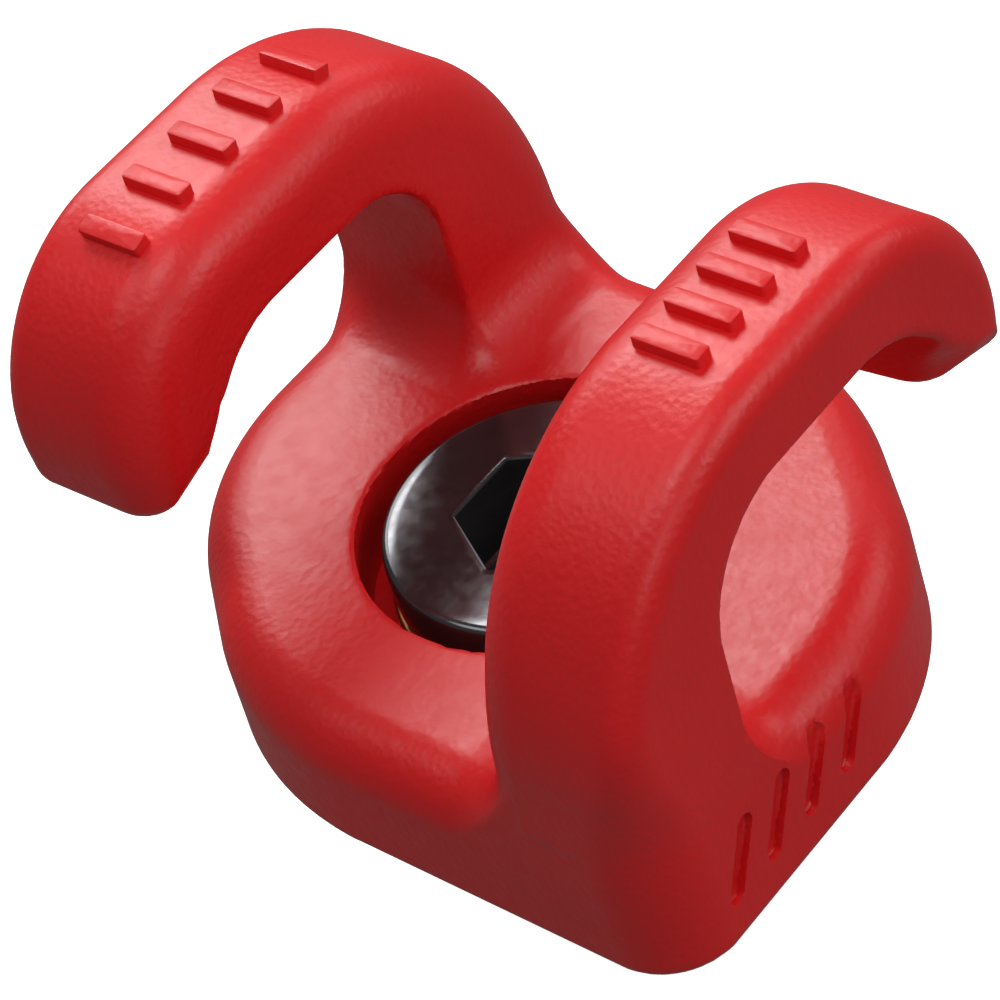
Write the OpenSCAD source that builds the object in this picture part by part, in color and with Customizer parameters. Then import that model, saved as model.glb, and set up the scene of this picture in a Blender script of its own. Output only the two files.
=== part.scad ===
// Swivel anchor ring with two opposed horns, bolted down through its centre.
// The cast body turns without limit on the shoulder of a socket-head screw.
// Millimetres. Z is the swivel axis, pointing away from the mounting surface at z = 0.
// The horn on the -Y side has its stem at -X and curls over towards +X; the other is its half-turn copy.

/* [Base of the cast body] */
// Half length along X, to the flat ends under the stems
base_half_x = 22.8; // [21.5:0.1:25]
// Half width along Y, to the flat outer faces of the horns
base_half_y = 26; // [25:0.5:29]
// Radius of the round part about the swivel axis
base_round_r = 22.5; // [21:0.5:25]
// Radius of the two tight corners under the stems
corner_r = 5; // [3.5:0.5:6]
// Radius of the two broad corners
broad_r = 20; // [18:0.5:21]
// Distance of the broad corners' centres from the YZ plane
broad_x = 2.2; // [1:0.1:4]
// Height of the underside above the mounting surface
base_bottom = 0.5; // [0.4:0.1:1]
// Height of the top of the base
base_top = 10.5; // [10:0.25:12]
// Round-over along the top edge of the base
top_edge_r = 3.4; // [1.5:0.1:4]

/* [Horns] */
// Thickness of each horn along Y
horn_t = 12.6; // [12:0.1:13]
// Height of the horns' flat tops above the base
horn_rise = 25.5; // [24.5:0.5:28]
// Radius of the outer bend above the stem
outer_bend_r = 19.8; // [17:0.1:20.5]
// Radius of the outer bend above the tip
tip_bend_r = 12.7; // [12:0.1:13.5]
// Distance from the YZ plane to the centre of the bend above the tip
bend_x = 6.2; // [5.5:0.1:7]
// Face of the stem towards the mouth, as a distance from the YZ plane
stem_in_x = 11.3; // [10.5:0.1:12]
// Radius of the mouth's upper corner at the stem
mouth_r = 8; // [6:0.1:8.5]
// Height of the mouth above the base
mouth_rise = 18.1; // [17:0.1:18.5]
// Fillet between the rim and the outer face of each horn
rim_out_r = 3; // [2:0.2:4]
// Fillet between the rim and the inner face of each horn
rim_in_r = 4.4; // [3:0.2:5]
// Hollow fillet where a stem meets the base
root_r = 4.5; // [3.5:0.25:6]
// Width of each tip along X
tip_w = 6.2; // [5.5:0.1:7]
// Gap between each tip and the top of the base
tip_gap = 9.2; // [8:0.2:11]
// Radius of the rounded tip
tip_r = 2.5; // [1.5:0.1:2.6]

/* [Marks] */
// Number of raised bars on the front horn's rim
front_bars = 4; // [3:1:5]
// Number of raised bars on the back horn's rim
back_bars = 5; // [3:1:5]
// Height of a raised bar above the rim
bar_rise = 0.7; // [0.4:0.1:1]
// Number of shallow grooves in each outer face
groove_count = 4; // [3:1:5]
// Depth of the shallow grooves in the outer faces
groove_depth = 0.5; // [0.3:0.1:0.8]

/* [Screw] */
// Radius of the head
head_r = 10.8; // [10:0.1:11.2]
// Height of the head
head_h = 4; // [3.5:0.1:4.5]
// Width across the flats of the hex socket
hex_af = 10; // [8:1:10]
// Depth of the hex socket from the top of the head
hex_depth = 6; // [5:0.25:6.5]
// Radius of the shoulder that the body turns on
shoulder_r = 8; // [7.5:0.1:8.2]
// Outer radius of the M12 thread
thread_r = 6; // [6:1:6]
// Length of the thread below the mounting surface
thread_len = 20; // [16:1:25]

/* [Pocket and bearing] */
// Radius of the pocket that the head sits in
pocket_r = 12.5; // [12:0.1:13]
// Outer radius of the bearing bush
bush_r = 9.5; // [9.2:0.1:9.8]
// Outer radius of the bush's flange
flange_r = 11; // [10.6:0.1:11.6]
// Thickness of the bush's flange
flange_h = 1; // [0.8:0.1:1.2]
// Thickness of the thrust washer under the head
thrust_h = 0.6; // [0.5:0.1:0.8]
// Outer radius of the base washer
washer_r = 15; // [14:0.25:15.5]
// Thickness of the base washer
washer_h = 1.6; // [1.4:0.1:1.8]
// Radial clearance between the shoulder and its bush
run_fit = 0.05; // [0.02:0.01:0.1]
// End play between faces that turn past each other
end_play = 0.1; // [0.05:0.05:0.2]

/* [Hidden] */
inner_y = base_half_y - horn_t;
horn_top = base_top + horn_rise;
stem_bend_z = horn_top - outer_bend_r;
tip_bend_z = horn_top - tip_bend_r;
mouth_z = base_top + mouth_rise;
tip_out_x = bend_x + tip_bend_r * cos(asin((horn_rise - tip_bend_r - tip_gap - tip_r) / tip_bend_r));
tip_in_x = tip_out_x - tip_w;
tip_z = base_top + tip_gap + tip_r;
stem_bend_x = base_half_x - outer_bend_r;
head_z = base_top - head_h;
thrust_z = head_z - thrust_h;
flange_z = thrust_z - end_play - flange_h;
recess_z = washer_h + end_play;
foot_inset = 0.45 * top_edge_r;
ring_z0 = 0.6;
ring_h = 0.8;
seal_r = 0.9;
seal_mid_r = 17;
patch_depth = 0.4;
over = 1;
roof_end_x = 3.5;
roof_turn_x = 9;
bar_mid_x = 1;
bar_len = 5;
bar_y = -(base_half_y + inner_y) / 2;
tip_angle = -asin((tip_bend_z - tip_z) / tip_bend_r);

// Points on an arc in the XZ plane, from angle a to angle b in n equal steps
function arc(cx, cz, r, a, b, n) =
    [for (i = [0:n]) [cx + r * cos(a + (b - a) * i / n), cz + r * sin(a + (b - a) * i / n)]];

// Points on a straight line after its start, in n equal steps
function line(p, q, n) = [for (i = [1:n]) p + (q - p) * i / n];

// Rim line of the horn, from inside the base over the top to the tip
rim_line = concat(
    [[-base_half_x, base_bottom + 3]],
    line([-base_half_x, base_bottom + 3], [-base_half_x, stem_bend_z], 5),
    line([-base_half_x, stem_bend_z], [-base_half_x, stem_bend_z], 1),
    arc(-stem_bend_x, stem_bend_z, outer_bend_r, 172.5, 90, 11),
    line([-stem_bend_x, horn_top], [bend_x, horn_top], 4),
    arc(bend_x, tip_bend_z, tip_bend_r, 82.5, tip_angle, 11));

// Mouth line of the horn, one point for each point of the rim line
mouth_line = concat(
    [[-stem_in_x, base_bottom + 3]],
    line([-stem_in_x, base_bottom + 3], [-stem_in_x, stem_bend_z], 5),
    line([-stem_in_x, stem_bend_z], [-stem_in_x, mouth_z - mouth_r], 1),
    arc(mouth_r - stem_in_x, mouth_z - mouth_r, mouth_r, 172.5, 90, 11),
    line([mouth_r - stem_in_x, mouth_z], [roof_end_x, mouth_z], 4),
    [for (i = [1:12]) mouth_slope(i / 12)]);

// Slope of the mouth line from the flat roof down to the tip
function mouth_slope(s) =
    pow(1 - s, 2) * [roof_end_x, mouth_z] + 2 * s * (1 - s) * [roof_turn_x, mouth_z - 0.4]
        + s * s * [tip_in_x, tip_z];

// Fillet on the outer side of the rim, widening down the stem to meet the base's tight corner
function outer_fillet(q) = let (s = (q[1] - base_top) / (stem_bend_z + 6 - base_top))
    q[0] > 0 || s > 1 ? rim_out_r : corner_r + max(s, 0) * (rim_out_r - corner_r);

// Cross-section of a horn between a mouth point p and a rim point q.
// It is inset by e at the rim and the faces, which rounds the tip.
function section(p, q, e) = let (
    w = norm(q - p),
    u = (q - p) / w,
    a = min(outer_fillet(q), 0.46 * w),
    b = min(rim_in_r, 0.46 * w),
    lo = -base_half_y + e,
    hi = -inner_y - e,
    rim = concat(
        [for (i = [0:5]) [w - a + a * sin(18 * i), lo + a - a * cos(18 * i)]],
        [for (i = [0:5]) [w - b + b * cos(18 * i), hi - b + b * sin(18 * i)]]),
    flat = concat([[0, lo]], rim, [[0, hi]]))
    [for (c = flat) [p[0] + c[0] * u[0], c[1], p[1] + c[0] * u[1]]];

// Sections that close the tip, each smaller and lower than the one before
function tip_section(k) = let (
    a = 90 * k / 5,
    inset = tip_r * (1 - cos(a)),
    drop = tip_r * sin(a))
    section([tip_in_x + inset, tip_z - drop], [tip_out_x - inset, tip_z - drop], inset);

module horn() {
    stations = concat(
        [for (i = [0:len(rim_line) - 1]) section(mouth_line[i], rim_line[i], 0)],
        [for (k = [1:5]) tip_section(k)]);
    n = len(stations[0]);
    last = len(stations) - 1;
    points = [for (s = stations) for (p = s) p];
    sides = [for (i = [0:last - 1]) for (j = [0:n - 1]) for (half = [0:1])
        let (a = i * n + j, b = i * n + (j + 1) % n)
        half == 0 ? [a, b, b + n] : [a, b + n, a + n]];
    caps = [[for (j = [n - 1:-1:0]) j], [for (j = [0:n - 1]) last * n + j]];
    polyhedron(points, concat(sides, caps));
}

// Outline of a stem's foot, widening downwards by a hollow quarter round on the side a to b
module foot_outline(a, b, flare) {
    difference() {
        translate([min(a, b + flare), base_top - 1])
            square([abs(b + flare - a), root_r + 1]);
        translate([b + flare, base_top + root_r])
            circle(r = root_r, $fn = 96);
    }
}

// Hollow fillets between a stem and the top of the base, mitred at the corner
module stem_foot() {
    intersection() {
        translate([0, -inner_y + root_r, 0])
            rotate([90, 0, 0])
                linear_extrude(height = horn_t + root_r - foot_inset)
                    foot_outline(-base_half_x + foot_inset, -stem_in_x, root_r);
        translate([-base_half_x, 0, 0])
            rotate([90, 0, 90])
                linear_extrude(height = base_half_x)
                    foot_outline(-base_half_y + foot_inset, -inner_y, root_r);
    }
}

// Flat-bottomed disc with a rounded top edge
module puck(x, y, r) {
    steps = 5;
    translate([x, y, 0])
        rotate_extrude($fn = 72)
            polygon(concat(
                [[0, base_bottom], [r, base_bottom]],
                [for (i = [0:steps]) [
                    r - top_edge_r + top_edge_r * cos(90 * i / steps),
                    base_top - top_edge_r + top_edge_r * sin(90 * i / steps)]],
                [[0, base_top]]));
}

module base_block() {
    hull() {
        puck(0, 0, base_round_r);
        for (s = [-1, 1]) {
            puck(s * (base_half_x - corner_r), s * (base_half_y - corner_r), corner_r);
            puck(s * broad_x, s * (base_half_y - broad_r), broad_r);
        }
    }
}

// Puts its children on the rim at x, measured along the rim where it bends down
module on_rim(x) {
    flat_x = max(-stem_bend_x, min(x, bend_x));
    r = x < -stem_bend_x ? outer_bend_r : tip_bend_r;
    translate([flat_x, bar_y, horn_top - r])
        rotate([0, (x - flat_x) / r * 180 / PI, 0])
            translate([0, 0, r])
                children();
}

// Row of raised bars across the rim, round the middle of a horn
module rim_bars(count, pitch) {
    for (i = [0:count - 1])
        on_rim(bar_mid_x + (i - (count - 1) / 2) * pitch)
            translate([-0.7, -bar_len / 2, -1])
                cube([1.4, bar_len, 1 + bar_rise]);
}

// Shallow slanted grooves in the outer face, under the mouth
module face_grooves() {
    for (i = [0:groove_count - 1])
        translate([-15.5 + 4 * i, -base_half_y - over, base_bottom + 5.5])
            rotate([0, 30, 0])
                translate([-0.7, 0, -3])
                    cube([1.4, over + groove_depth, 6]);
}

module hook_body() {
    color([0.72, 0.05, 0.07])
        difference() {
            union() {
                base_block();
                for (turn = [0, 180])
                    rotate([0, 0, turn]) {
                        horn();
                        stem_foot();
                    }
                rim_bars(front_bars, 3.3);
                rotate([0, 0, 180])
                    rim_bars(back_bars, 4.5);
            }
            translate([0, 0, flange_z])
                cylinder(h = horn_rise + base_top, r = pocket_r, $fn = 128);
            translate([0, 0, -over])
                cylinder(h = base_top + over, r = bush_r, $fn = 96);
            translate([0, 0, -over])
                cylinder(h = recess_z + over, r = washer_r + 0.3, $fn = 128);
            seal_groove();
            for (turn = [0, 180])
                rotate([0, 0, turn])
                    face_grooves();
        }
}

module seal_groove() {
    translate([0, 0, -over])
        difference() {
            cylinder(h = 2 * seal_r + 0.2 + over, r = seal_mid_r + seal_r + 0.2, $fn = 128);
            cylinder(h = 3 * seal_r + over, r = seal_mid_r - seal_r - 0.1, $fn = 128);
        }
}

// Head, shoulder and threaded end in one piece; the thread is its outer cylinder
module shoulder_screw() {
    color([0.07, 0.07, 0.08])
        difference() {
            rotate_extrude($fn = 128)
                polygon([
                    [0, -thread_len],
                    [thread_r - 1, -thread_len],
                    [thread_r, -thread_len + 1],
                    [thread_r, 0],
                    [shoulder_r - 0.3, 0],
                    [shoulder_r, 0.3],
                    [shoulder_r, ring_z0],
                    [shoulder_r - 0.7, ring_z0],
                    [shoulder_r - 0.7, ring_z0 + ring_h + 0.05],
                    [shoulder_r, ring_z0 + ring_h + 0.05],
                    [shoulder_r, head_z],
                    [head_r - 0.3, head_z],
                    [head_r, head_z + 0.3],
                    [head_r, base_top - 0.5],
                    [head_r - 0.5, base_top],
                    [0, base_top]]);
            translate([0, 0, base_top - hex_depth])
                cylinder(h = hex_depth + over, r = hex_af / sqrt(3), $fn = 6);
            translate([0, 0, base_top - 0.4])
                cylinder(h = 0.4 + over, r1 = hex_af / 2, r2 = hex_af / 2 + 0.4 + over, $fn = 64);
            patch_inlay(thread_r + over);
        }
}

// Flanged bush pressed into the body from the pocket
module bearing_bush() {
    color([0.72, 0.50, 0.22])
        difference() {
            union() {
                translate([0, 0, recess_z + 0.1])
                    cylinder(h = flange_z - recess_z - 0.1, r = bush_r, $fn = 96);
                translate([0, 0, flange_z])
                    cylinder(h = flange_h, r = flange_r, $fn = 96);
            }
            translate([0, 0, -over])
                cylinder(h = base_top + over, r = shoulder_r + run_fit, $fn = 96);
        }
}

// Flat ring from height z, used for the washers and the retaining ring
module flat_ring(z, h, outer, inner) {
    translate([0, 0, z])
        difference() {
            cylinder(h = h, r = outer, $fn = 96);
            translate([0, 0, -over])
                cylinder(h = h + 2 * over, r = inner, $fn = 96);
        }
}

module thrust_washer() {
    color([0.62, 0.63, 0.66])
        flat_ring(thrust_z, thrust_h, head_r - 0.2, shoulder_r + 0.1);
}

module base_washer() {
    color([0.62, 0.63, 0.66])
        flat_ring(0, washer_h, washer_r, bush_r + 0.2);
}

// Open snap ring in the shoulder's groove, which keeps the screw in the body
module retaining_ring() {
    color([0.35, 0.36, 0.38])
        difference() {
            flat_ring(ring_z0 + 0.02, ring_h - 0.02, shoulder_r + 1.2, shoulder_r - 0.6);
            translate([0, -1.5, -over])
                cube([shoulder_r + 3, 3, 4]);
        }
}

module seal_ring() {
    color([0.05, 0.05, 0.05])
        translate([0, 0, seal_r + 0.15])
            rotate_extrude($fn = 96)
                translate([seal_mid_r, 0])
                    circle(r = seal_r, $fn = 24);
}

// Part of a ring on one side of the thread, out to the radius outer
module patch_inlay(outer) {
    intersection() {
        flat_ring(-13, 6, outer, thread_r - patch_depth);
        translate([0, -thread_r / 2, -14])
            cube([thread_r + 2, thread_r, 8]);
    }
}

// Thread-locking patch, set into one side of the thread and flush with it
module thread_patch() {
    color([0.08, 0.22, 0.60])
        patch_inlay(thread_r);
}

hook_body();
shoulder_screw();
bearing_bush();
thrust_washer();
base_washer();
retaining_ring();
seal_ring();
thread_patch();
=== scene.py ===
"""Two-horned swivel tie-down with its shoulder screw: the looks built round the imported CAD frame."""

import math

import bpy
import numpy as np
from mathutils import Matrix, Vector


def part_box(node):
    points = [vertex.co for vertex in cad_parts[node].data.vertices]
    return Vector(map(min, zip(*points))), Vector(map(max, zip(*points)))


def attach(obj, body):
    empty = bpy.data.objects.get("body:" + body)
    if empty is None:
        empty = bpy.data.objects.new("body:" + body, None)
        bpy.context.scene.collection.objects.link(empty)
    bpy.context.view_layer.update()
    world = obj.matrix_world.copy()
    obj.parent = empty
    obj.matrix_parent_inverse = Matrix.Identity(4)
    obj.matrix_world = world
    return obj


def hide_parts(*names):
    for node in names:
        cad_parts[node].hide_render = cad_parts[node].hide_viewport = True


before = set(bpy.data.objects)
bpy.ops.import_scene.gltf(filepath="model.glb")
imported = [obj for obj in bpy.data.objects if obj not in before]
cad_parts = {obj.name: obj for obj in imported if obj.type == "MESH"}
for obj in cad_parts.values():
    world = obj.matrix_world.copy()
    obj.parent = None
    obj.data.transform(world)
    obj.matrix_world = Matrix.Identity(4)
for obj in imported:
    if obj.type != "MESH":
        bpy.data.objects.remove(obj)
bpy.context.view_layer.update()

MM = 0.001


def toward(azimuth, elevation):
    """Unit vector from the part towards a direction. At azimuth 0 it lies on the -Y side."""
    level = math.cos(elevation)
    return Vector((math.sin(azimuth) * level, -math.cos(azimuth) * level, math.sin(elevation)))


def box_mm(node):
    """Lowest and highest corner of a CAD node, in millimetres."""
    low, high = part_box(node)
    return np.array(low) / MM, np.array(high) / MM


BODY_LOW, BODY_HIGH = box_mm("hook_body")
SCREW_LOW, SCREW_HIGH = box_mm("shoulder_screw")

# ---------------------------------------------------------------- sizes of the casting, mm
HALF_X, HALF_Y = BODY_HIGH[0], BODY_HIGH[1]
UNDERSIDE = BODY_LOW[2]
BASE_TOP = SCREW_HIGH[2]
HORN_TOP = BASE_TOP + 25.5
HORN_THICK = 12.6
INNER_Y = HALF_Y - HORN_THICK
CORNER_R = 5.2
BROAD_R, BROAD_X = 20.3, 2.2
ROUND_R = 22.5
TOP_EDGE_R = 3.9
ROOT_R = 4.8
RIM_OUT_R, RIM_IN_R = 2.2, 4.2
STEM_BLEND, RIM_IN_LESS = 12.0, 1.4
TIP_SOFT_X, TIP_SOFT_Z = 3.0, BASE_TOP + 15.0
STEM_BEND_R, TIP_BEND_R = 19.8, 12.67
MOUTH_DRAFT = 0.109
FOOT_SPREAD = 0.0017
FOOT_EDGE_R = 0.6
MOUTH_EDGE_R, TIP_EDGE_R = 0.5, 4.5
MOUTH_TOP = BASE_TOP + 18.8
STEM_IN_X = 11.94
TIP_IN_LOW, TIP_OUT_LOW = (12.8, 19.8), (18.55, 18.1)
POCKET_R, POCKET_FLOOR = 12.5, 4.8
POCKET_EDGE_R = 0.35
BUSH_BORE_R = 9.5
RECESS_R, RECESS_Z = 15.3, 1.7
SEAL_IN_R, SEAL_OUT_R, SEAL_Z = 16.0, 18.1, 2.0
FACE_GROOVES = (-15.5, -11.5, -7.5, -3.5)
GROOVE_HALF, GROOVE_REACH, GROOVE_DEPTH = 0.7, 2.3, 0.6
GROOVE_LEAN, GROOVE_Z = math.radians(30), UNDERSIDE + 5.5
GROOVE_FLOOR_R, GROOVE_EDGE_R = 0.3, 0.15
BELOW = -30.0
CELL = 0.37

# ---------------------------------------------------------------- distance fields


def smooth(t):
    """0 below 0, 1 above 1, an S-curve between."""
    t = np.clip(t, 0, 1)
    return t * t * (3 - 2 * t)


def meet(a, b, r):
    """Intersection of two solids with its edge rounded to r."""
    return np.minimum(np.maximum(a + r, b + r), 0) + np.hypot(np.maximum(a + r, 0), np.maximum(b + r, 0)) - r


def join(a, b, r):
    """Union of two solids with a hollow fillet of radius r."""
    return np.maximum(np.minimum(a - r, b - r), 0) - np.hypot(np.maximum(r - a, 0), np.maximum(r - b, 0)) + r


class Outline:
    """Closed anticlockwise outline of lines and arcs. Calling it gives signed distances, negative inside."""

    def __init__(self, lines, arcs):
        self.lines, self.arcs = lines, arcs

    @classmethod
    def rounded(cls, corners):
        """From (u, v, radius) corners."""
        points = [np.array(c[:2], float) for c in corners]
        ends, arcs = [], []
        for k, (p, corner) in enumerate(zip(points, corners)):
            before = p - points[k - 1]
            after = points[(k + 1) % len(points)] - p
            before, after = before / np.hypot(*before), after / np.hypot(*after)
            turn = math.atan2(before[0] * after[1] - before[1] * after[0], before @ after)
            cut = corner[2] * math.tan(abs(turn) / 2)
            start = p - cut * before
            ends.append((start, p + cut * after))
            if corner[2] > 0:
                centre = start + math.copysign(corner[2], turn) * np.array([-before[1], before[0]])
                spoke = start - centre
                arcs.append((centre, corner[2], math.atan2(spoke[1], spoke[0]), turn))
        lines = [(ends[k - 1][1], ends[k][0]) for k in range(len(ends))]
        return cls(lines, arcs)

    @classmethod
    def belt(cls, circles):
        """Belt stretched anticlockwise round (u, v, radius) circles."""
        normals = []
        for k, (u, v, r) in enumerate(circles):
            nu, nv, nr = circles[(k + 1) % len(circles)]
            along = math.atan2(nv - v, nu - u)
            normals.append(along - math.acos((r - nr) / math.hypot(nu - u, nv - v)))
        lines, arcs = [], []
        for k, (u, v, r) in enumerate(circles):
            nu, nv, nr = circles[(k + 1) % len(circles)]
            out = np.array([math.cos(normals[k]), math.sin(normals[k])])
            lines.append((np.array([u, v]) + r * out, np.array([nu, nv]) + nr * out))
            turn = (normals[k] - normals[k - 1]) % (2 * math.pi)
            arcs.append((np.array([u, v]), r, normals[k - 1], turn))
        return cls(lines, arcs)

    def __call__(self, u, v):
        best = np.full(np.broadcast(u, v).shape, 1e3)
        for a, b in self.lines:
            du, dv = b - a
            share = np.clip(((u - a[0]) * du + (v - a[1]) * dv) / (du * du + dv * dv), 0, 1)
            far = np.hypot(u - a[0] - share * du, v - a[1] - share * dv)
            side = np.where(du * (v - a[1]) - dv * (u - a[0]) > 0, -1.0, 1.0)
            best = np.where(far < np.abs(best), far * side, best)
        for centre, r, start, turn in self.arcs:
            pu, pv = u - centre[0], v - centre[1]
            sign = math.copysign(1, turn)
            swept = ((np.arctan2(pv, pu) - start) * sign) % (2 * math.pi)
            far = (np.hypot(pu, pv) - r) * sign
            best = np.where((swept <= abs(turn)) & (np.abs(far) < np.abs(best)), far, best)
        return best


def along_tip(x):
    """Height of the tip's sloping underside at x."""
    (u0, v0), (u1, v1) = TIP_IN_LOW, TIP_OUT_LOW
    return v0 + (v1 - v0) * (x - u0) / (u1 - u0)


PLAN = Outline.belt([
    (CORNER_R - HALF_X, CORNER_R - HALF_Y, CORNER_R),
    (-BROAD_X, BROAD_R - HALF_Y, BROAD_R),
    (0.0, 0.0, ROUND_R),
    (HALF_X - CORNER_R, HALF_Y - CORNER_R, CORNER_R),
    (BROAD_X, HALF_Y - BROAD_R, BROAD_R),
    (0.0, 0.0, ROUND_R),
])
RIM = Outline.rounded([
    (-HALF_X, BELOW, 0.5), (-5, BELOW, 0.5), (-5, along_tip(-5), 0.5),
    (*TIP_OUT_LOW, 2.2), (20.12, HORN_TOP, TIP_BEND_R), (-HALF_X, HORN_TOP, STEM_BEND_R),
])
MOUTH = Outline.rounded([
    (-STEM_IN_X, BELOW, 0.5), (60, BELOW, 0.5), (60, along_tip(60), 0.5),
    (*TIP_IN_LOW, 1.2), (12.3, BASE_TOP + 14.7, 1.5),
    (8.0, MOUTH_TOP, 9.1), (-STEM_IN_X, MOUTH_TOP, 8.0),
])


def horn(x, y, z):
    """The horn whose outer face is at -HALF_Y, whose stem is at -X and whose tip is at +X."""
    rim = RIM(x, z)
    outer, inner = -HALF_Y - y, y + INNER_Y
    low = np.where(x < 0, 1 - smooth((z - BASE_TOP) / STEM_BLEND), 0)
    edge = np.maximum(
        meet(rim, outer, RIM_OUT_R + low * (CORNER_R - RIM_OUT_R)),
        meet(rim, inner, RIM_IN_R - RIM_IN_LESS * low),
    )
    mouth = -MOUTH(x, z) - MOUTH_DRAFT * (y + HALF_Y)
    near_tip = smooth((TIP_SOFT_Z - z) / 5) * smooth((x - TIP_SOFT_X) / 6)
    soft = MOUTH_EDGE_R + (TIP_EDGE_R - MOUTH_EDGE_R) * near_tip
    return np.maximum(edge, np.maximum(meet(mouth, outer, soft), meet(mouth, inner, soft)))


def voids(x, y, z):
    """Pocket, bore, washer recess and seal groove."""
    r = np.hypot(x, y)
    pocket = np.maximum(r - POCKET_R, POCKET_FLOOR - z)
    bore = r - BUSH_BORE_R + 0 * z
    recess = np.maximum(r - RECESS_R, z - RECESS_Z)
    groove = np.maximum(np.maximum(SEAL_IN_R - r, r - SEAL_OUT_R), z - SEAL_Z)
    return np.minimum(np.minimum(pocket, bore), np.minimum(recess, groove))


def face_grooves(x, y, z):
    """Slanted round-ended grooves low on the outer face at -HALF_Y."""
    best = np.full(np.broadcast(x, y, z).shape, 1e3)
    side, up = math.sin(GROOVE_LEAN), math.cos(GROOVE_LEAN)
    for middle in FACE_GROOVES:
        across, along = x - middle, z - GROOVE_Z
        reach = np.clip(across * side + along * up, -GROOVE_REACH, GROOVE_REACH)
        best = np.minimum(best, np.hypot(across - reach * side, along - reach * up) - GROOVE_HALF)
    return meet(best, y + HALF_Y - GROOVE_DEPTH, GROOVE_FLOOR_R)


def casting(x, y, z):
    """Signed distance to the body: base, two horns blended into it, and what is cut out."""
    cut = voids(x, y, z)
    y = y * (1 - FOOT_SPREAD * np.maximum(BASE_TOP - z, 0))
    plan = PLAN(x, y)
    floor = UNDERSIDE - z
    side = meet(plan, floor, FOOT_EDGE_R)
    base = np.maximum(meet(plan, z - BASE_TOP, TOP_EDGE_R), side)
    solid = base
    for turn in (1, -1):
        arm = horn(turn * x, turn * y, z)
        blended = np.maximum(join(arm, base, ROOT_R), side)
        solid = np.minimum(np.minimum(solid, blended), np.maximum(arm, BASE_TOP - z))
    for turn in (1, -1):
        solid = meet(solid, -face_grooves(turn * x, turn * y, z), GROOVE_EDGE_R)
    return meet(solid, -cut, POCKET_EDGE_R)


# ---------------------------------------------------------------- field to mesh

HOLD_MEAN, CELL_ROOM = 0.05, 0.55


def crossings(field, a, b, fa, fb):
    """Where the field is zero between points a and b, and its unit gradient there."""
    for _ in range(5):
        p = a + (b - a) * (fa / (fa - fb))[:, None]
        f = field(*p.T)
        first = (f < 0) == (fa < 0)
        fb = np.where(first, fb / 2, f)
        b = np.where(first[:, None], b, p)
        fa = np.where(first, f, fa / 2)
        a = np.where(first[:, None], p, a)
    p = np.where((np.abs(fa) < np.abs(fb))[:, None], a, b)
    return p, gradient(field, p)


def gradient(field, p, step=0.02):
    """Unit gradient of the field at each point."""
    g = np.empty_like(p)
    for k in range(3):
        shift = np.zeros(3)
        shift[k] = step
        g[:, k] = field(*(p + shift).T) - field(*(p - shift).T)
    return g / np.maximum(np.linalg.norm(g, axis=1), 1e-9)[:, None]


def contour(field, low, high, cell):
    """Quad mesh of the field's zero surface, with its vertices on the sharp edges too."""
    low = np.array(low, float)
    count = np.ceil((np.array(high) - low) / cell).astype(int) + 1
    x, y, z = (low[k] + cell * np.arange(count[k]) for k in range(3))
    value = field(x[:, None, None], y[None, :, None], z[None, None, :])
    step = np.array([count[1] * count[2], count[2], 1])
    owners, points, normals = [], [], []
    for axis in range(3):
        lower, upper = [slice(None)] * 3, [slice(None)] * 3
        lower[axis], upper[axis] = slice(None, -1), slice(1, None)
        fa, fb = value[tuple(lower)], value[tuple(upper)]
        cut = (fa < 0) != (fb < 0)
        at = np.argwhere(cut)
        start = low + at * cell
        end = start.copy()
        end[:, axis] += cell
        p, n = crossings(field, start, end, fa[cut], fb[cut])
        first, second = (step[k] for k in range(3) if k != axis)
        corner = at @ step
        ring = np.stack([corner, corner - first, corner - first - second, corner - second], axis=1)
        outward = (fa[cut] < 0) == (axis != 1)
        owners.append(np.where(outward[:, None], ring, ring[:, ::-1]))
        points.append(p)
        normals.append(n)
    quads, p, n = np.concatenate(owners), np.concatenate(points), np.concatenate(normals)
    used, index = np.unique(quads, return_inverse=True)
    index = index.reshape(-1)
    p, n = np.repeat(p, 4, axis=0), np.repeat(n, 4, axis=0)

    def total(weights):
        return np.bincount(index, weights, len(used))

    size = total(np.ones(len(index)))
    mean = np.stack([total(p[:, k]) / size for k in range(3)], axis=1)
    reach = np.einsum("ij,ij->i", n, p - mean[index])
    planes = np.empty((len(used), 3, 3))
    pull = np.empty((len(used), 3, 1))
    for i in range(3):
        pull[:, i, 0] = total(n[:, i] * reach)
        for j in range(3):
            planes[:, i, j] = total(n[:, i] * n[:, j])
    planes += HOLD_MEAN * np.eye(3)
    move = np.linalg.solve(planes, pull)[:, :, 0]
    cubes = np.stack([used // step[0], used // step[1] % count[1], used % count[2]], axis=1)
    middle = low + (cubes + 0.5) * cell
    room = CELL_ROOM * cell
    vertices = np.clip(mean + move, middle - room, middle + room)
    return vertices, index.reshape(-1, 4)


# ---------------------------------------------------------------- mesh helpers


def add_piece(name, vertices, faces, material, body, slot, replaces=None, crease=35):
    """New piece from millimetre vertices, smooth except at creases, riding on a body."""
    mesh = bpy.data.meshes.new(name)
    mesh.from_pydata((np.asarray(vertices) * MM).tolist(), [], [list(map(int, f)) for f in faces])
    mesh.validate()
    mesh.shade_smooth()
    mesh.set_sharp_from_angle(angle=math.radians(crease))
    mesh.materials.append(material)
    piece = bpy.data.objects.new(name, mesh)
    bpy.context.scene.collection.objects.link(piece)
    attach(piece, body)
    if replaces:
        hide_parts(replaces)


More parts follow.
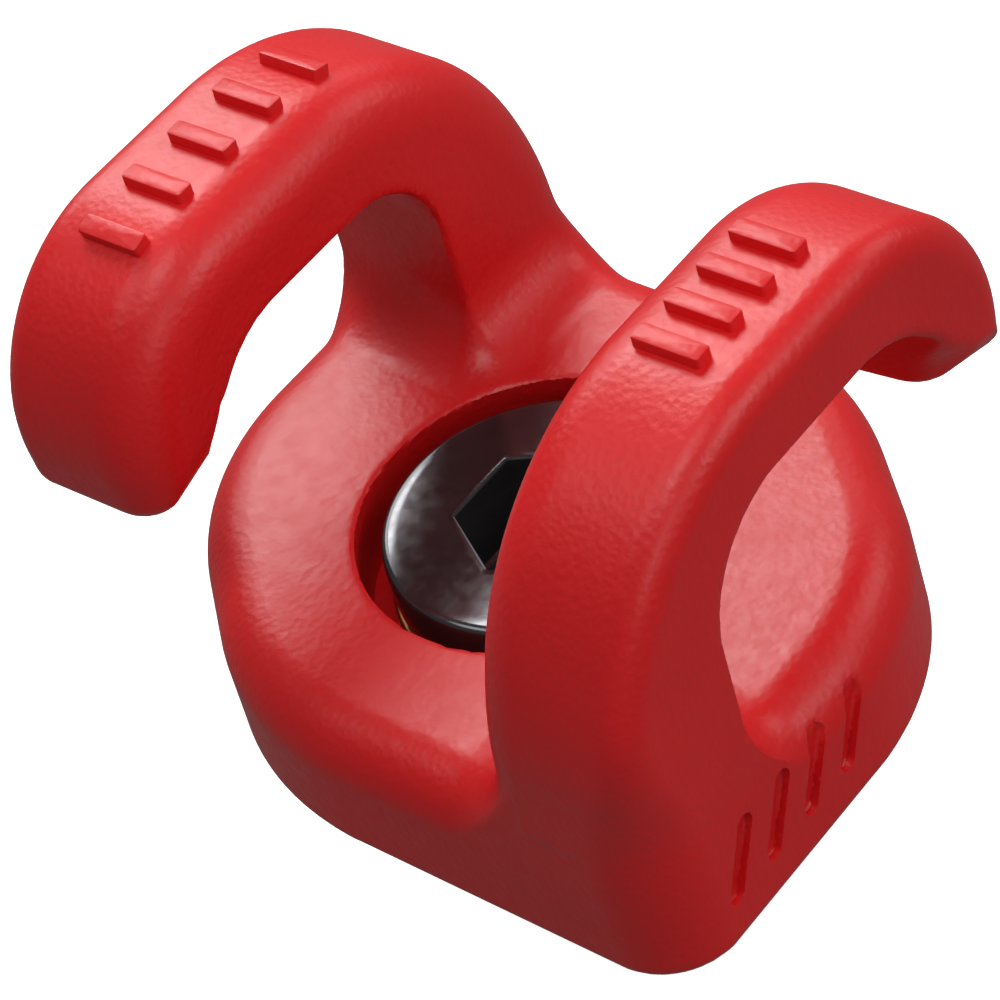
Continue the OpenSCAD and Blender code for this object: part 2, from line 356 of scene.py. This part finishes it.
def rounded_profile(corners, steps=5):
    """Points of a closed profile from (r, z, fillet) corners."""
    outline = Outline.rounded(corners)
    arcs = iter(outline.arcs)
    points = []
    for corner, (_, end) in zip(corners, outline.lines):
        if corner[2] <= 0:
            points.append(end)
            continue
        centre, r, start, turn = next(arcs)
        for k in range(steps + 1):
            a = start + turn * k / steps
            points.append(centre + r * np.array([math.cos(a), math.sin(a)]))
    return np.array(points)


def lathe(profile, segments=128, start=0.0, sweep=2 * math.pi):
    """Vertices and faces of a closed profile turned round Z, through a full turn or part of one."""
    full = sweep >= 2 * math.pi - 1e-6
    rows = segments if full else segments + 1
    angles = start + sweep * np.arange(rows) / segments
    r, z = profile[:, 0], profile[:, 1]
    vertices = np.stack([
        np.outer(np.cos(angles), r), np.outer(np.sin(angles), r), np.tile(z, (rows, 1)),
    ], axis=2).reshape(-1, 3)
    n = len(profile)
    faces = []
    for i in range(segments):
        a, b = i * n, (i + 1) % rows * n
        faces += [(a + j, b + j, b + (j + 1) % n, a + (j + 1) % n) for j in range(n)]
    if not full:
        faces += [tuple(range(n)), tuple(segments * n + j for j in reversed(range(n)))]
    return vertices, faces


def rings_mesh(rings):
    """Faces joining rings of points one after the other, with fans over both ends."""
    n = len(rings[0])
    vertices = np.concatenate([*rings, [rings[0].mean(0)], [rings[-1].mean(0)]])
    faces = []
    for k in range(len(rings) - 1):
        a, b = k * n, (k + 1) * n
        faces += [(a + j, a + (j + 1) % n, b + (j + 1) % n, b + j) for j in range(n)]
    first, last = len(rings) * n, len(rings) * n + 1
    end = (len(rings) - 1) * n
    faces += [(first, (j + 1) % n, j) for j in range(n)]
    faces += [(last, end + j, end + (j + 1) % n) for j in range(n)]
    return vertices, faces


def together(*parts):
    """Several vertex and face lists as one."""
    vertices, faces, offset = [], [], 0
    for v, f in parts:
        vertices.append(v)
        faces += [tuple(i + offset for i in face) for face in f]
        offset += len(v)
    return np.concatenate(vertices), faces


# ---------------------------------------------------------------- materials


class Nodes:
    """Short way to build a node material."""

    def __init__(self, name):
        self.material = bpy.data.materials.new(name)
        self.material.use_nodes = True
        self.tree = self.material.node_tree
        self.shader = self.tree.nodes["Principled BSDF"]
        self.place = self.add("ShaderNodeTexCoord").outputs["Object"]

    def add(self, kind, inputs=None, **settings):
        node = self.tree.nodes.new(kind)
        for key, value in settings.items():
            setattr(node, key, value)
        for key, value in (inputs or {}).items():
            self.put(node.inputs[key], value)
        return node

    def put(self, socket, value):
        if isinstance(value, bpy.types.NodeSocket):
            self.tree.links.new(value, socket)
        else:
            socket.default_value = value

    def noise(self, scale, detail=2.0, rough=0.5, stretch=None):
        place = self.place
        if stretch:
            place = self.add("ShaderNodeMapping", {"Vector": place, "Scale": stretch}).outputs[0]
        return self.add(
            "ShaderNodeTexNoise", {"Vector": place, "Scale": scale, "Detail": detail, "Roughness": rough}
        ).outputs[0]

    def cells(self, scale, smoothness=0.6):
        return self.add(
            "ShaderNodeTexVoronoi", {"Vector": self.place, "Scale": scale, "Smoothness": smoothness},
            feature="SMOOTH_F1",
        ).outputs[0]

    def remap(self, value, low, high, to_low, to_high):
        return self.add("ShaderNodeMapRange", {0: value, 1: low, 2: high, 3: to_low, 4: to_high}).outputs[0]

    def colours(self, value, *stops):
        ramp = self.add("ShaderNodeValToRGB", {0: value})
        elements = ramp.color_ramp.elements
        for k, (position, colour) in enumerate(stops):
            element = elements[k] if k < 2 else elements.new(position)
            element.position, element.color = position, (*colour, 1)
        return ramp.outputs[0]

    def sum(self, a, b, share=1.0):
        return self.add("ShaderNodeMath", {0: b, 1: share, 2: a}, operation="MULTIPLY_ADD").outputs[0]

    def bump(self, height, distance, strength=1.0, over=None):
        inputs = {"Height": height, "Distance": distance, "Strength": strength}
        if over is not None:
            inputs["Normal"] = over
        return self.add("ShaderNodeBump", inputs).outputs[0]

    def set(self, **inputs):
        names = {k.lower().replace(" ", "_"): k for k in self.shader.inputs.keys()}
        for key, value in inputs.items():
            self.put(self.shader.inputs[names[key]], value)
        return self.material


def red_coating():
    """Satin red coating over a fine cast skin."""
    n = Nodes("red_coating")
    drift = n.noise(60, 3)
    skin = n.sum(n.cells(1900), n.noise(2600, 3, 0.55), 0.7)
    waves = n.noise(260, 2)
    normal = n.bump(waves, 0.00006, 0.4)
    return n.set(
        base_color=n.colours(drift, (0.3, (0.66, 0.006, 0.008)), (0.7, (0.74, 0.009, 0.011))),
        roughness=n.remap(n.noise(900, 2), 0.3, 0.7, 0.36, 0.44),
        specular_ior_level=0.4,
        coat_weight=0.12,
        coat_roughness=0.3,
        normal=n.bump(skin, 0.00005, 0.6, normal),
    )


def black_steel():
    """Polished black oxide with faint turning marks."""
    n = Nodes("black_steel")
    marks = n.noise(1200, 2)
    return n.set(
        base_color=n.colours(n.noise(220, 3), (0.3, (0.085, 0.085, 0.09)), (0.7, (0.12, 0.12, 0.125))),
        metallic=0.85,
        roughness=n.remap(marks, 0.3, 0.7, 0.12, 0.2),
        normal=n.bump(n.noise(500, 2), 0.00001, 0.3),
    )


def turned_metal(name, dark, light, rough=0.3, pitch=5200.0):
    """Turned metal with rings round the axis and small stains."""
    n = Nodes(name)
    apart = n.add("ShaderNodeSeparateXYZ", {0: n.place})
    flat = n.add("ShaderNodeCombineXYZ", {0: apart.outputs[0], 1: apart.outputs[1], 2: 0.0}).outputs[0]
    radius = n.add("ShaderNodeVectorMath", {0: flat}, operation="LENGTH").outputs["Value"]
    lines = n.add("ShaderNodeMath", {0: radius, 1: apart.outputs[2]}, operation="ADD").outputs[0]
    rings = n.add(
        "ShaderNodeTexNoise", {"W": lines, "Scale": pitch, "Detail": 2.0}, noise_dimensions="1D"
    ).outputs[0]
    return n.set(
        base_color=n.colours(n.sum(n.noise(180, 4), rings, 0.25), (0.4, dark), (0.75, light)),
        metallic=1.0,
        roughness=n.remap(rings, 0.3, 0.7, rough - 0.07, rough + 0.08),
        normal=n.bump(rings, 0.000012, 0.6),
    )


def black_rubber():
    """Matt moulded rubber."""
    n = Nodes("black_rubber")
    return n.set(
        base_color=n.colours(n.noise(400, 3), (0.3, (0.012, 0.012, 0.013)), (0.7, (0.03, 0.03, 0.031))),
        roughness=n.remap(n.noise(900, 2), 0.3, 0.7, 0.5, 0.68),
        normal=n.bump(n.noise(2400, 3), 0.00002, 0.5),
    )


def blue_nylon():
    """Sprayed thread-locking nylon, slightly grainy."""
    n = Nodes("blue_nylon")
    return n.set(
        base_color=n.colours(n.noise(700, 4), (0.35, (0.02, 0.08, 0.34)), (0.7, (0.05, 0.16, 0.52))),
        roughness=n.remap(n.noise(1500, 2), 0.3, 0.7, 0.42, 0.6),
        normal=n.bump(n.noise(3000, 3), 0.00004, 0.6),
    )


# ---------------------------------------------------------------- pieces on the body


BAR_HALF, BAR_TOP, BAR_SINK = (0.7, 2.5), 0.8, 1.0
BAR_ROWS = ((1, 4, 3.3), (-1, 5, 4.5))
BAR_MIDDLE = (1.0, -(HALF_Y + INNER_Y) / 2)
STEM_BEND_X, TIP_BEND_X = STEM_BEND_R - HALF_X, 6.3


def bar():
    """Raised bar along Y with rounded edges, its foot sunk below z = 0."""
    hx, hy = BAR_HALF
    outline = rounded_profile([(-hx, -hy, 0.25), (hx, -hy, 0.25), (hx, hy, 0.25), (-hx, hy, 0.25)], 4)
    rings = []
    for inset, height in ((0, -BAR_SINK), (0, BAR_TOP - 0.14), (0.04, BAR_TOP - 0.04), (0.14, BAR_TOP)):
        scale = np.array([1 - inset / hx, 1 - inset / hy])
        rings.append(np.column_stack([outline * scale, np.full(len(outline), height)]))
    return rings_mesh(rings)


def on_rim(points, x):
    """Moves points from round the origin to the rim at x, measured along the rim where it bends down."""
    flat_x = max(STEM_BEND_X, min(x, TIP_BEND_X))
    radius = STEM_BEND_R if x < STEM_BEND_X else TIP_BEND_R
    lean = np.array(Matrix.Rotation((x - flat_x) / radius, 3, "Y"))
    return (points + [0, 0, radius]) @ lean.T + [flat_x, BAR_MIDDLE[1], HORN_TOP - radius]


def rim_bars():
    """A row of raised bars across the rim of each horn."""
    parts = []
    for turn, count, pitch in BAR_ROWS:
        for k in range(count):
            points, faces = bar()
            points = on_rim(points, BAR_MIDDLE[0] + (k - (count - 1) / 2) * pitch)
            parts.append((points * [turn, turn, 1], faces))
    return parts


def build_body(material):
    """The casting as one smooth surface, with the raised bars on it."""
    reach = np.array([HALF_X, HALF_Y]) + 2 * CELL
    vertices, quads = contour(
        casting, (*-reach, UNDERSIDE - 2 * CELL), (*reach, HORN_TOP + 2 * CELL), CELL
    )
    vertices, faces = together((vertices, [tuple(q) for q in quads.tolist()]), *rim_bars())
    add_piece("tie_down_body", vertices, faces, material, "hook", "coated_casting", "hook_body")


def build_rings(materials):
    """Bush, washers, snap ring and seal, each turned from its own rounded profile."""
    low, high = box_mm("bearing_bush")
    inner, flange = 8.05, high[0]
    bush = [
        (inner, low[2], 0.3), (BUSH_BORE_R, low[2], 0.4), (BUSH_BORE_R, high[2] - 1, 0.1),
        (flange, high[2] - 1, 0.2), (flange, high[2], 0.25), (inner, high[2], 0.3),
    ]
    add_piece("bush", *lathe(rounded_profile(bush)), materials["bronze"], "hook", "bronze", "bearing_bush")

    for name, node, hole, soft in (
        ("thrust_ring", "thrust_washer", 8.1, 0.12),
        ("seat_washer", "base_washer", BUSH_BORE_R + 0.2, 0.3),
    ):
        low, high = box_mm(node)
        profile = rounded_profile([
            (hole, low[2], soft), (high[0], low[2], soft), (high[0], high[2], soft), (hole, high[2], soft),
        ])
        add_piece(name, *lathe(profile), materials["steel"], "anchor", "plain_steel", node)

    low, high = box_mm("retaining_ring")
    outer = -low[0]
    profile = rounded_profile([
        (7.4, low[2], 0.1), (outer, low[2], 0.2), (outer, high[2], 0.2), (7.4, high[2], 0.1),
    ])
    gap = 1.55 / 8.3
    ring = lathe(profile, 120, gap, 2 * math.pi - 2 * gap)
    add_piece("snap_ring", *ring, materials["spring"], "anchor", "spring_steel", "retaining_ring")

    low, high = box_mm("seal_ring")
    thick, middle = (high[2] - low[2]) / 2, (high[2] + low[2]) / 2
    angles = np.radians(np.arange(0, 360, 15.0))
    flash = 1 + 0.05 * np.exp(-((np.sin(angles)) / 0.12) ** 2)
    profile = np.column_stack([
        high[0] - thick + thick * flash * np.cos(angles) - 0.05 * thick, middle + thick * np.sin(angles),
    ])
    add_piece("seal", *lathe(profile, 160), materials["rubber"], "hook", "seal_rubber", "seal_ring", 60)


# ---------------------------------------------------------------- the screw

SCREW_SIDES = 144
HEAD_R, HEAD_LOW = SCREW_HIGH[0], BASE_TOP - 4.0
HEX_HALF, HEX_FLOOR = 5.0, BASE_TOP - 6.0
SHOULDER_R, SNAP_GROOVE_R = 8.0, 7.3
SNAP_GROOVE_LOW, SNAP_GROOVE_HIGH = 0.6, 1.45
THREAD_R, THREAD_PITCH = 6.0, 1.75
THREAD_ROOT = THREAD_R - 0.6134 * THREAD_PITCH


def ring(radius, z, hexagon=0.0):
    """Ring of points, round at hexagon 0 and six-sided at 1, with the same width across its flats."""
    angles = 2 * math.pi * np.arange(SCREW_SIDES) / SCREW_SIDES
    flats = 1 / np.cos(angles % (math.pi / 3) - math.pi / 6)
    r = radius * (1 + hexagon * (flats - 1))
    return np.column_stack([r * np.cos(angles), r * np.sin(angles), np.full(SCREW_SIDES, z)])


def head_and_shoulder():
    """From the socket's floor up over the slightly domed head and down to the shoulder's end."""
    dome = [(r, BASE_TOP - 0.16 * (r / HEAD_R) ** 2) for r in np.linspace(6.6, 10.2, 7)]
    rings = [ring(0.02, HEX_FLOOR - 0.9), ring(2.6, HEX_FLOOR - 0.25), ring(HEX_HALF - 0.25, HEX_FLOOR, 1)]
    rings += [ring(HEX_HALF, HEX_FLOOR + 0.25, 1), ring(HEX_HALF, BASE_TOP - 0.22, 1)]
    rings += [ring(HEX_HALF + 0.06, BASE_TOP - 0.1, 1), ring(HEX_HALF + 0.18, BASE_TOP - 0.04, 1)]
    rings += [ring(HEX_HALF + 0.7, BASE_TOP - 0.045, 0.75)]
    rings += [ring(r, z) for r, z in dome]
    edge = [(0.42, 0.03), (0.2, 0.13), (0.06, 0.3), (0.0, 0.55)]
    rings += [ring(HEAD_R - inset, dome[-1][1] - drop) for inset, drop in edge]
    rings += [ring(HEAD_R, HEAD_LOW + 0.3), ring(HEAD_R - 0.3, HEAD_LOW), ring(SHOULDER_R + 0.3, HEAD_LOW)]
    rings += [ring(SHOULDER_R, HEAD_LOW - 0.3), ring(SHOULDER_R, SNAP_GROOVE_HIGH)]
    rings += [ring(SNAP_GROOVE_R, SNAP_GROOVE_HIGH), ring(SNAP_GROOVE_R, SNAP_GROOVE_LOW)]
    rings += [ring(SHOULDER_R, SNAP_GROOVE_LOW), ring(SHOULDER_R, 0.3)]
    rings += [ring(SHOULDER_R - 0.3, 0.0), ring(THREAD_R, 0.0), ring(THREAD_R, -0.9)]
    return rings_mesh([r[::-1] for r in rings])


def thread():
    """Rolled thread: rows that climb with the helix, clipped flat at both ends."""
    low, high = SCREW_LOW[2], -0.8
    rows = [
        (0.0, THREAD_R), (0.125, THREAD_R), (0.27, (THREAD_R + THREAD_ROOT) / 2), (0.42, THREAD_ROOT),
        (0.5, THREAD_ROOT - 0.07), (0.62, THREAD_ROOT - 0.07), (0.7, THREAD_ROOT),
        (0.86, (THREAD_R + THREAD_ROOT) / 2),
    ]
    turns = int((high - low) / THREAD_PITCH) + 3
    angles = 2 * math.pi * np.arange(SCREW_SIDES) / SCREW_SIDES
    rings = []
    for turn in range(turns):
        for phase, radius in rows:
            z = low + (turn - 1.5 + phase + angles / (2 * math.pi)) * THREAD_PITCH
            z = np.clip(z, low, high)
            r = np.minimum(radius, THREAD_ROOT - 0.15 + (z - low))
            r = np.maximum(r, THREAD_ROOT + (z - high + 1.2) / 1.2 * (THREAD_R - THREAD_ROOT))
            rings.append(np.column_stack([r * np.cos(angles), r * np.sin(angles), z]))
    return helix_mesh(rings, len(rows))


def helix_mesh(rings, per_turn):
    """Faces between rows that climb one pitch in a turn, so a row's end meets the row per_turn later."""
    n = SCREW_SIDES
    vertices = np.concatenate([*rings, [[0, 0, rings[0][0, 2]]], [[0, 0, rings[-1][0, 2]]]])
    faces = []
    for k in range(len(rings) - 1):
        for j in range(n - 1):
            a = k * n + j
            faces.append((a, a + 1, a + 1 + n, a + n))
        if k + per_turn + 1 < len(rings):
            a, b = k * n + n - 1, (k + per_turn) * n
            faces.append((a, b, b + n, a + n))
    bottom, top = len(rings) * n, len(rings) * n + 1
    last = (len(rings) - 1) * n
    faces += [(bottom, j + 1, j) for j in range(n - 1)] + [(bottom, 0, n - 1)]
    faces += [(top, last + j, last + j + 1) for j in range(n - 1)] + [(top, last + n - 1, last)]
    return vertices, faces


def build_screw(materials):
    """The screw, with the thread-locking patch sprayed over part of its thread."""
    add_piece(
        "shoulder_bolt", *together(head_and_shoulder(), thread()), materials["black"],
        "anchor", "black_steel", "shoulder_screw",
    )
    low, high = box_mm("thread_patch")
    half = math.asin(high[1] / THREAD_R) if high[1] < THREAD_R else 0.5
    across, along = 24, 20
    rows = []
    for i in range(along + 1):
        z = low[2] + (high[2] - low[2]) * i / along
        for j in range(across + 1):
            a = half * (2 * j / across - 1)
            edge = min(1.0, 6 * min(i / along, 1 - i / along, j / across, 1 - j / across))
            ripple = 0.03 * math.cos(2 * math.pi * (z / THREAD_PITCH - a / (2 * math.pi)))
            r = THREAD_ROOT + (THREAD_R + 0.02 - THREAD_ROOT + ripple) * edge ** 0.35
            rows.append((r * math.cos(a), r * math.sin(a), z))
    width = across + 1
    corners = [i * width + j for i in range(along) for j in range(across)]
    faces = [(a, a + 1, a + 1 + width, a + width) for a in corners]
    add_piece("lock_patch", rows, faces, materials["nylon"], "anchor", "patch_nylon", "thread_patch")


# ---------------------------------------------------------------- stage

FOCAL = 154.3
AZIMUTH, ELEVATION, ROLL = math.radians(-40.43), math.radians(42.82), math.radians(17.24)
DISTANCE = 278.3 * MM
SLIDE = (2.63 * MM, 0.67 * MM)


def add_camera():
    """Camera at the measured direction, aimed so that the head's centre sits a little off the middle."""
    target = Vector((0, 0, BASE_TOP * MM))
    back = toward(AZIMUTH, ELEVATION)
    level = (-back).cross(Vector((0, 0, 1))).normalized()
    sink = (-back).cross(level)
    right = math.cos(ROLL) * level + math.sin(ROLL) * sink
    down = -math.sin(ROLL) * level + math.cos(ROLL) * sink
    data = bpy.data.cameras.new("camera")
    data.lens, data.sensor_width = FOCAL, 36.0
    data.clip_start, data.clip_end = 0.01, 10.0
    camera = bpy.data.objects.new("camera", data)
    camera.matrix_world = Matrix((right, -down, back)).transposed().to_4x4()
    camera.location = target - SLIDE[0] * right - SLIDE[1] * down + DISTANCE * back
    bpy.context.scene.collection.objects.link(camera)
    bpy.context.scene.camera = camera


# name, azimuth and elevation in degrees, watts
LIGHTS = (
    ("key", -40, 74, 0.60),
    ("front", -25, 28, 0.24),
    ("side", 20, 28, 0.50),
    ("right", 65, 28, 0.30),
    ("right_back", 110, 28, 0.15),
    ("back", 158, 28, 0.40),
    ("high_back", 140, 46, 1.15),
    ("high_left", -130, 60, 0.30),
)
LIGHT_SIZE, LIGHT_FAR = 0.22, 0.5
LIGHT_AIM = Vector((0, 0, 0.015))


def add_light(name, azimuth, elevation, power):
    """Round soft light in the given direction (degrees), aimed at the part."""
    line = toward(math.radians(azimuth), math.radians(elevation))
    data = bpy.data.lights.new(name, "AREA")
    data.shape, data.size, data.energy = "DISK", LIGHT_SIZE, power
    light = bpy.data.objects.new(name, data)
    light.location = LIGHT_FAR * line + LIGHT_AIM
    light.rotation_mode = "QUATERNION"
    light.rotation_quaternion = (-line).to_track_quat("-Z", "Y")
    bpy.context.scene.collection.objects.link(light)


def add_stage():
    """Plain pale floor under the screw's end, dim even surroundings and the lights."""
    low = SCREW_LOW[2] * MM - 0.0002
    mesh = bpy.data.meshes.new("floor")
    half = 3.0
    corners = [(-half, -half, low), (half, -half, low), (half, half, low), (-half, half, low)]
    mesh.from_pydata(corners, [], [(0, 1, 2, 3)])
    n = Nodes("pale_floor")
    mesh.materials.append(n.set(
        base_color=n.colours(n.noise(3, 2), (0.3, (0.86, 0.86, 0.86)), (0.7, (0.88, 0.88, 0.88))),
        roughness=0.9,
        emission_color=(1, 1, 1, 1), emission_strength=0.75,
    ))
    floor = bpy.data.objects.new("floor", mesh)
    bpy.context.scene.collection.objects.link(floor)
    floor.visible_diffuse = floor.visible_glossy = False
    world = bpy.data.worlds.new("studio")
    world.use_nodes = True
    world.node_tree.nodes["Background"].inputs[0].default_value = (1, 1, 1, 1)
    world.node_tree.nodes["Background"].inputs[1].default_value = 0.17
    bpy.context.scene.world = world
    bpy.context.scene.view_settings.view_transform = "Standard"
    for light in LIGHTS:
        add_light(*light)


materials = {
    "black": black_steel(),
    "bronze": turned_metal("sintered_bronze", (0.42, 0.24, 0.09), (0.60, 0.38, 0.16), 0.38),
    "steel": turned_metal("zinc_steel", (0.46, 0.47, 0.48), (0.62, 0.63, 0.64), 0.28),
    "spring": turned_metal("spring_steel", (0.16, 0.16, 0.17), (0.26, 0.26, 0.27), 0.3),
    "rubber": black_rubber(),
    "nylon": blue_nylon(),
}
build_body(red_coating())
build_rings(materials)
build_screw(materials)
add_stage()
add_camera()
